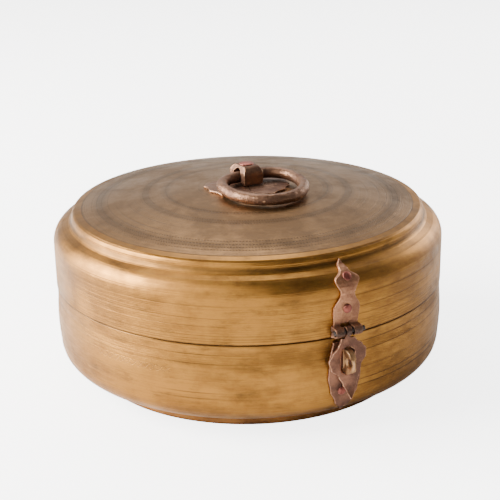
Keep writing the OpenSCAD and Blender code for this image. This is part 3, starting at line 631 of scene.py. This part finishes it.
def finished(work, node, body, metal, grain, soften, dent, mark=None, bend=None):
    """Hammers and rubs a piece, however it was made, and sets it on its body."""
    work.data.materials.clear()
    skin = work.modifiers.new("skin", "REMESH")
    skin.mode, skin.voxel_size = "VOXEL", grain
    rub = work.modifiers.new("rub", "SMOOTH")
    rub.factor, rub.iterations = 0.5, soften
    shape = bpy.data.meshes.new_from_object(work.evaluated_get(bpy.context.evaluated_depsgraph_get()))
    work.modifiers.clear()
    work.data = shape
    points = [(v.co.copy(), v.normal.copy()) for v in shape.vertices]
    for vertex, (co, normal) in zip(shape.vertices, points):
        knock = 0.5 + 0.5 * noise.noise(co * 260) + 0.3 * noise.noise(co * 900)
        cut = dent * max(0, knock) + (mark(co) if mark else 0)
        vertex.co = co - normal * cut
        if bend:
            vertex.co += bend(vertex.co)
    shape.shade_smooth()
    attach(work, body)
    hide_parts(node)
    # The finish goes into the piece's one slot; Blender numbers its name when a CAD finish already has that
    # name.
    shape.materials.append(metal)
    return work


# Worn edges: where the metal stands proud it is rubbed bright, where it is low dirt stays.
worn, into, outof = group(
    "Worn Edges",
    [("Color", COLOUR, (0.3, 0.2, 0.1, 1)), ("Bright", COLOUR, (0.7, 0.5, 0.3, 1)),
     ("Dirt", COLOUR, (0.04, 0.03, 0.02, 1)), ("Wear", FLOAT, 0.5)],
    [("Color", COLOUR), ("Mask", FLOAT)],
)
point = add(worn, "ShaderNodeNewGeometry").outputs["Pointiness"]
place = add(worn, "ShaderNodeTexCoord").outputs["Object"]
uneven = add(worn, "ShaderNodeTexNoise", Vector=place, Scale=220.0, Detail=3.0)
shift = maths(worn, "MULTIPLY", maths(worn, "SUBTRACT", uneven.outputs[0], 0.5), 0.05)
proud = span(worn, maths(worn, "ADD", point, shift), 0.512, 0.56)
rubbed = maths(worn, "MULTIPLY", proud, into["Wear"])
low = maths(worn, "SUBTRACT", 1.0, span(worn, maths(worn, "ADD", point, shift), 0.44, 0.49))
dirty = blend(worn, maths(worn, "MULTIPLY", low, 0.8), into["Color"], into["Dirt"])
worn.links.new(blend(worn, rubbed, dirty, into["Bright"]), outof["Color"])
worn.links.new(rubbed, outof["Mask"])


def worn_metal(name, metallic, bright, dull, stain, edge, wear, scale, smooth, rough, relief,
               amount=0.5, stains=0.5):
    """A small fitting's finish: tarnish, bright rubbed edges and dirt in the corners."""
    made, tree, shader = finish_named(name)
    shader.inputs["Metallic"].default_value = metallic
    look = use(tree, tarnish, Scale=scale, Streak=1.0, Bright=bright, Dull=dull, Stain=stain,
               Amount=amount, Stains=stains)
    edges = use(tree, worn, Color=look["Color"], Bright=edge, Dirt=SOOT_AND_SHADE, Wear=wear)
    tree.links.new(edges["Color"], shader.inputs["Base Color"])
    roughness(tree, shader, look["Dullness"], smooth, rough)
    tree.links.new(bump(tree, look["Height"], relief, 0.0006), shader.inputs["Normal"])
    return made


hinge_brass = worn_metal(
    "hinge_brass", 1.0, (0.42, 0.22, 0.07, 1), (0.25, 0.125, 0.04, 1), (0.08, 0.045, 0.02, 1),
    (0.62, 0.36, 0.14, 1), wear=0.7, scale=60.0, smooth=0.32, rough=0.52, relief=0.25,
)
rivet_copper = worn_metal(
    "rivet_copper", 0.9, (0.36, 0.105, 0.075, 1), (0.20, 0.065, 0.05, 1), (0.09, 0.035, 0.03, 1),
    (0.55, 0.22, 0.15, 1), wear=0.6, scale=120.0, smooth=0.32, rough=0.5, relief=0.35,
)
pin_iron = worn_metal(
    "pin_iron", 0.35, (0.075, 0.058, 0.05, 1), (0.04, 0.03, 0.027, 1), (0.10, 0.045, 0.025, 1),
    (0.16, 0.13, 0.12, 1), wear=0.5, scale=160.0, smooth=0.55, rough=0.85, relief=0.9,
)
for half, body in (("bowl", "base"), ("lid", "lid")):
    forged(f"hinge_leaf_{half}", f"{body}_hinge_leaf", body, hinge_brass, 0.5 * MM, 2, 0.12 * MM)
for half, body in (("bowl", "base"), ("lid", "lid")):
    forged(f"hinge_rivets_{half}", f"{body}_hinge_rivets", body, rivet_copper, 0.3 * MM, 3, 0.25 * MM)
forged("hinge_pin_iron", "hinge_pin", "base", pin_iron, 0.35 * MM, 2, 0.2 * MM)

# The hasp -------------------------------------------------------------------------------
# Sheet brass cut by hand: a spired plate on the lid, a leaf-shaped flap with a slot that
# swings on a rough iron pin, and a pointed plate under the staple. Handling has left the
# flats brown and the cut edges bright; the rivets are red copper, hammered flat.
hasp_pin_low, hasp_pin_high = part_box("hasp_pin")
pin_z = (hasp_pin_low.z + hasp_pin_high.z) / 2
pin_y = (hasp_pin_low.y + hasp_pin_high.y) / 2
KNUCKLE = 3.3 * MM
FLAP_T = 2 * MM
flap_back = pin_y + FLAP_T / 2
RUST = (0.062, 0.042, 0.034, 1)


def hasp_finish(name, bright, dull, edge, wear):
    """Brown sheet metal that goes dark and rusty where it is wrapped round the iron pin."""
    made = worn_metal(
        name, 0.85, bright, dull, (0.075, 0.04, 0.03, 1), edge, wear,
        scale=70.0, smooth=0.36, rough=0.56, relief=0.4,
    )
    tree = made.node_tree
    shader = tree.nodes["Principled BSDF"]
    plain = shader.inputs["Base Color"].links[0].from_socket
    rusty = dirt_and_shade_at(tree, plain, height_of(tree), pin_z, 4.6 * MM, RUST, 0.9)
    tree.links.new(rusty, shader.inputs["Base Color"])
    return made


hasp_metal = hasp_finish(
    "hasp_metal", (0.27, 0.125, 0.075, 1), (0.15, 0.072, 0.048, 1), (0.80, 0.42, 0.25, 1), 0.95,
)

plate_metal = hasp_finish(
    "plate_metal", (0.45, 0.21, 0.11, 1), (0.27, 0.125, 0.07, 1), (0.85, 0.46, 0.27, 1), 0.9,
)


def pitted(co):
    """The rusty pits round the pin, deepest at its own height."""
    near = max(0, 1 - abs(co.z - pin_z) / (4.4 * MM))
    return 0.7 * MM * near * max(0, noise.noise(co * 620) + 0.1)


def leaf_edge(stations, steps):
    """An outline up one side and down the other, eased between heights and their half widths."""
    left, right = 0, 1

    def eased(z, side):
        k = min(len(stations) - 2, max(i for i, s in enumerate(stations) if s[0] <= z + 1e-9))
        (z0, *a), (z1, *b) = stations[k], stations[k + 1]
        t = (1 - math.cos(math.pi * (z - z0) / (z1 - z0))) / 2
        return a[side] + (b[side] - a[side]) * t
    low, high = stations[0][0], stations[-1][0]
    rows = [low + (high - low) * i / steps for i in range(steps + 1)]
    return [(eased(z, right), z) for z in rows] + [(-eased(z, left), z) for z in reversed(rows)]


def cut_sheet(name, loops, thick, y):
    """Sheet metal cut to an outline, with holes, standing upright in front of the box."""
    drawing = bpy.data.curves.new(name, "CURVE")
    drawing.dimensions, drawing.fill_mode = "2D", "BOTH"
    drawing.extrude, drawing.bevel_depth = thick / 2 - 0.35 * MM, 0.35 * MM
    drawing.offset = -0.35 * MM
    for loop in loops:
        line = drawing.splines.new("POLY")
        line.points.add(len(loop) - 1)
        line.use_cyclic_u = True
        for point, (x, z) in zip(line.points, loop):
            point.co = (x * MM, z * MM, 0, 1)
    made = in_scene(bpy.data.objects.new(name, drawing))
    solid = bpy.data.meshes.new_from_object(made.evaluated_get(bpy.context.evaluated_depsgraph_get()))
    bpy.data.objects.remove(made)
    upright = Matrix.Translation((0, y, seam)) @ Matrix.Rotation(math.pi / 2, 4, "X")
    solid.transform(upright)
    return in_scene(bpy.data.objects.new(name, solid))


def rod(x0, x1, y, z, radius):
    """A short round bar along X, added to a piece before its surface is worked."""
    made = bpy.data.meshes.new("rod")
    ring = arc(y, z, radius, radius, 0, 345, 23)
    made.from_pydata(
        [(x, a, b) for x in (x0, x1) for a, b in ring], [],
        [[i, (i + 1) % 24, 24 + (i + 1) % 24, 24 + i] for i in range(24)]
        + [list(range(23, -1, -1)), list(range(24, 48))],
    )
    return made


def joined(work, extra):
    """Adds one mesh to another; working the surface then makes them one skin."""
    whole = bmesh.new()
    whole.from_mesh(work.data)
    whole.from_mesh(extra)
    whole.to_mesh(work.data)
    whole.free()


# Heights from the seam in millimetres, each with the half widths to the left and right.
FLAP = [
    (-40, 0.2, 1.6), (-36, 1.2, 4.6), (-31, 3.4, 7.0), (-25, 6.2, 8.6), (-19.5, 11.6, 9.8),
    (-14, 13.2, 13.0), (-9, 10.6, 13.4), (-5, 6.8, 10.6), (-1.5, 5.2, 6.2), (0.6, 4.6, 4.8),
]
CURL_FROM, CURL_LONG = 30, 10
flap_line = leaf_edge(FLAP, 72)
SLOT_MID, SLOT_HALF_W, SLOT_HALF_L = -14.8, 4.8, 9.3
slot = []
for i in range(36):
    across, up = math.cos(i * math.pi / 18), math.sin(i * math.pi / 18)
    bulge = 6.125 * across * (1 if abs(up) < 0.8 else 0.86)
    slot.append((max(-SLOT_HALF_W, min(SLOT_HALF_W, bulge)), SLOT_MID + SLOT_HALF_L * up))
flap = cut_sheet("hasp_leaf", [flap_line, slot], FLAP_T, pin_y)
joined(flap, rod(-2 * MM, 2 * MM, pin_y, pin_z, KNUCKLE))
neck = cut_sheet("neck", [[(-2, -1.5), (2, -1.5), (2, 3.5), (-2, 3.5)]], FLAP_T, pin_y)
joined(flap, neck.data)
bpy.data.objects.remove(neck)


def flap_bend(co):
    """The flap's lobes lie a little back and its tip is curled out for the finger."""
    down = (seam - co.z) / MM
    curl = max(0, down - CURL_FROM) / CURL_LONG
    lobe = 0.25 * MM * min(1, (co.x / (12 * MM)) ** 2)
    return Vector((0, -4.2 * MM * curl**2 + lobe, 0.6 * MM * curl**2))


finished(flap, "hasp_flap", "hasp", hasp_metal, 0.34 * MM, 3, 0.3 * MM, pitted, flap_bend)
forged("hasp_lid_plate", "hasp_upper_plate", "lid", plate_metal, 0.34 * MM, 6, 0.3 * MM, pitted)
forged("hasp_bowl_plate", "staple_plate", "base", hasp_metal, 0.34 * MM, 6, 0.3 * MM, pitted)
forged("hasp_rivet_heads", "hasp_rivets", "lid", rivet_copper, 0.28 * MM, 3, 0.35 * MM)
forged("staple_rivet_head", "staple_plate_rivet", "base", rivet_copper, 0.28 * MM, 3, 0.35 * MM)
forged("hasp_pin_iron", "hasp_pin", "lid", pin_iron, 0.28 * MM, 1, 0.55 * MM)

# The staple -----------------------------------------------------------------------------
# A thick loop of pale brass whose two legs go through plate and wall and are bent over
# inside. Its nose stands out of the flap's slot and takes the padlock.
staple_brass = worn_metal(
    "staple_brass", 0.95, (0.56, 0.31, 0.15, 1), (0.38, 0.21, 0.10, 1), (0.14, 0.07, 0.04, 1),
    (0.82, 0.52, 0.30, 1), wear=0.8, scale=90.0, smooth=0.34, rough=0.52, relief=0.3,
    amount=0.4, stains=0.3,
)
staple_low, staple_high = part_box("hasp_staple")
staple_z = (staple_low.z + staple_high.z) / 2


def filed_waist(co):
    """The staple's nose is filed thinner at its middle, beside the eye."""
    if co.y > flap_back:
        return 0
    return 1.0 * MM * math.exp(-(((co.z - staple_z) / (3.8 * MM)) ** 2)) * min(1, abs(co.x) / (1.2 * MM))


forged("staple_loop", "hasp_staple", "base", staple_brass, 0.3 * MM, 8, 0.3 * MM, filed_waist)

# The handle -----------------------------------------------------------------------------
# A cast ring turns in a block that is tunnelled from end to end. One thick rivet holds
# the block and the leaf-shaped plate under it, and its copper head is beaten flat on top.
handle_brass = worn_metal(
    "handle_brass", 0.85, (0.22, 0.115, 0.066, 1), (0.115, 0.06, 0.04, 1), (0.06, 0.034, 0.024, 1),
    (0.62, 0.36, 0.21, 1), wear=0.8, scale=60.0, smooth=0.36, rough=0.58, relief=0.45,
)
VEIN_TURN = math.radians(-107)
vein = Vector((math.cos(VEIN_TURN), math.sin(VEIN_TURN)))


def leaf_veins(co):
    """A middle vein down the leaf and side veins slanting from it, cut with a graver."""
    down, side = co.xy.dot(vein), abs(co.x * -vein.y + co.y * vein.x)
    if down < 9 * MM:
        return 0
    middle = math.exp(-((side / (0.45 * MM)) ** 2))
    slant = ((down - 0.75 * side) / (3.4 * MM)) % 1 - 0.5
    branch = math.exp(-((slant * 3.4 / 0.42) ** 2)) * (1.5 * MM < side < 17 * MM)
    return 0.45 * MM * middle + 0.28 * MM * branch


forged("handle_leaf", "handle_back_plate", "lid", handle_brass, 0.4 * MM, 2, 0.2 * MM, leaf_veins)
forged("handle_block", "handle_saddle", "lid", handle_brass, 0.4 * MM, 3, 0.35 * MM)
forged("handle_loop", "handle_ring", "ring", handle_brass, 0.55 * MM, 3, 0.45 * MM)
forged("handle_rivet_head", "handle_rivet", "lid", rivet_copper, 0.3 * MM, 3, 0.4 * MM)
forged("handle_burr_washer", "handle_washer", "lid", inner_brass, 0.4 * MM, 2, 0.15 * MM)

# The cups -------------------------------------------------------------------------------
# Seven spun brass cups stand loose in the bowl, one in the middle and six round it. Each
# has a flat foot, a wall that opens in one curve, and a mouth rolled over into a bead.
CUP_T, BEAD, CUP_FOOT = 1.2 * MM, 1.3 * MM, 26 * MM
cup_low, cup_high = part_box("cup_centre")
cup_r, cup_h = cup_high.x - BEAD + CUP_T / 2, cup_high.z - cup_low.z
cup_wall = [(cup_r, cup_h - BEAD)]
turn_in = CUP_FOOT + 1 * MM
cup_wall += arc(turn_in, cup_h - BEAD, cup_r - turn_in, cup_h - BEAD - 4 * MM, 0, -78, 16)[1:]
cup_wall += [(CUP_FOOT, 0.8 * MM), (CUP_FOOT - 0.8 * MM, 0), (CUP_FOOT * 0.6, 0.15 * MM), (0, 0.15 * MM)]
cup_inside = [(0, CUP_T), (CUP_FOOT * 0.7, CUP_T), (CUP_FOOT, CUP_T + 0.3 * MM)]
cup_inside += [(r - CUP_T, z) for r, z in reversed(cup_wall[1:17]) if z > 4.5 * MM]
cup_inside += [(cup_r - CUP_T, cup_h - BEAD)]
bead = arc(cup_r - CUP_T / 2, cup_h - BEAD, BEAD, BEAD, 215, -30, 14)
cup_outline = [(r, z + cup_low.z) for r, z in bead + cup_wall[2:] + cup_inside[:-1]]
cup_brass, tree, shader = finish_named("cup_brass")
shader.inputs["Metallic"].default_value = 1.0
look = use(tree, tarnish, Scale=30.0, Streak=1.5,
           Bright=(0.60, 0.36, 0.12, 1), Dull=(0.38, 0.21, 0.065, 1),
           Stain=(0.15, 0.095, 0.05, 1), Amount=0.4, Stains=0.35)
lines = use(tree, tool_lines, Across=height_of(tree), Per_Metre=1700.0)
tree.links.new(look["Color"], shader.inputs["Base Color"])
roughness(tree, shader, look["Dullness"], 0.22, 0.45)
tree.links.new(bump(tree, lines["Height"], 0.12, 0.0004), shader.inputs["Normal"])
for node in ["cup_centre"] + [f"cup_{k}" for k in range(1, 7)]:
    low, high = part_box(node)
    cup = turned(f"{node}_spun", cup_outline, 96, middle=((low.x + high.x) / 2, (low.y + high.y) / 2))
    cup.data.materials.append(cup_brass)
    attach(cup, node)
    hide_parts(node)

# The spoon ------------------------------------------------------------------------------
# A little beaten brass spoon, its bowl level in the middle cup and its flat handle
# leaning over the rim, ending in a round.
forged("spoon_beaten", "spoon", "spoon", cup_brass, 0.35 * MM, 2, 0.12 * MM)

low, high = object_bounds()
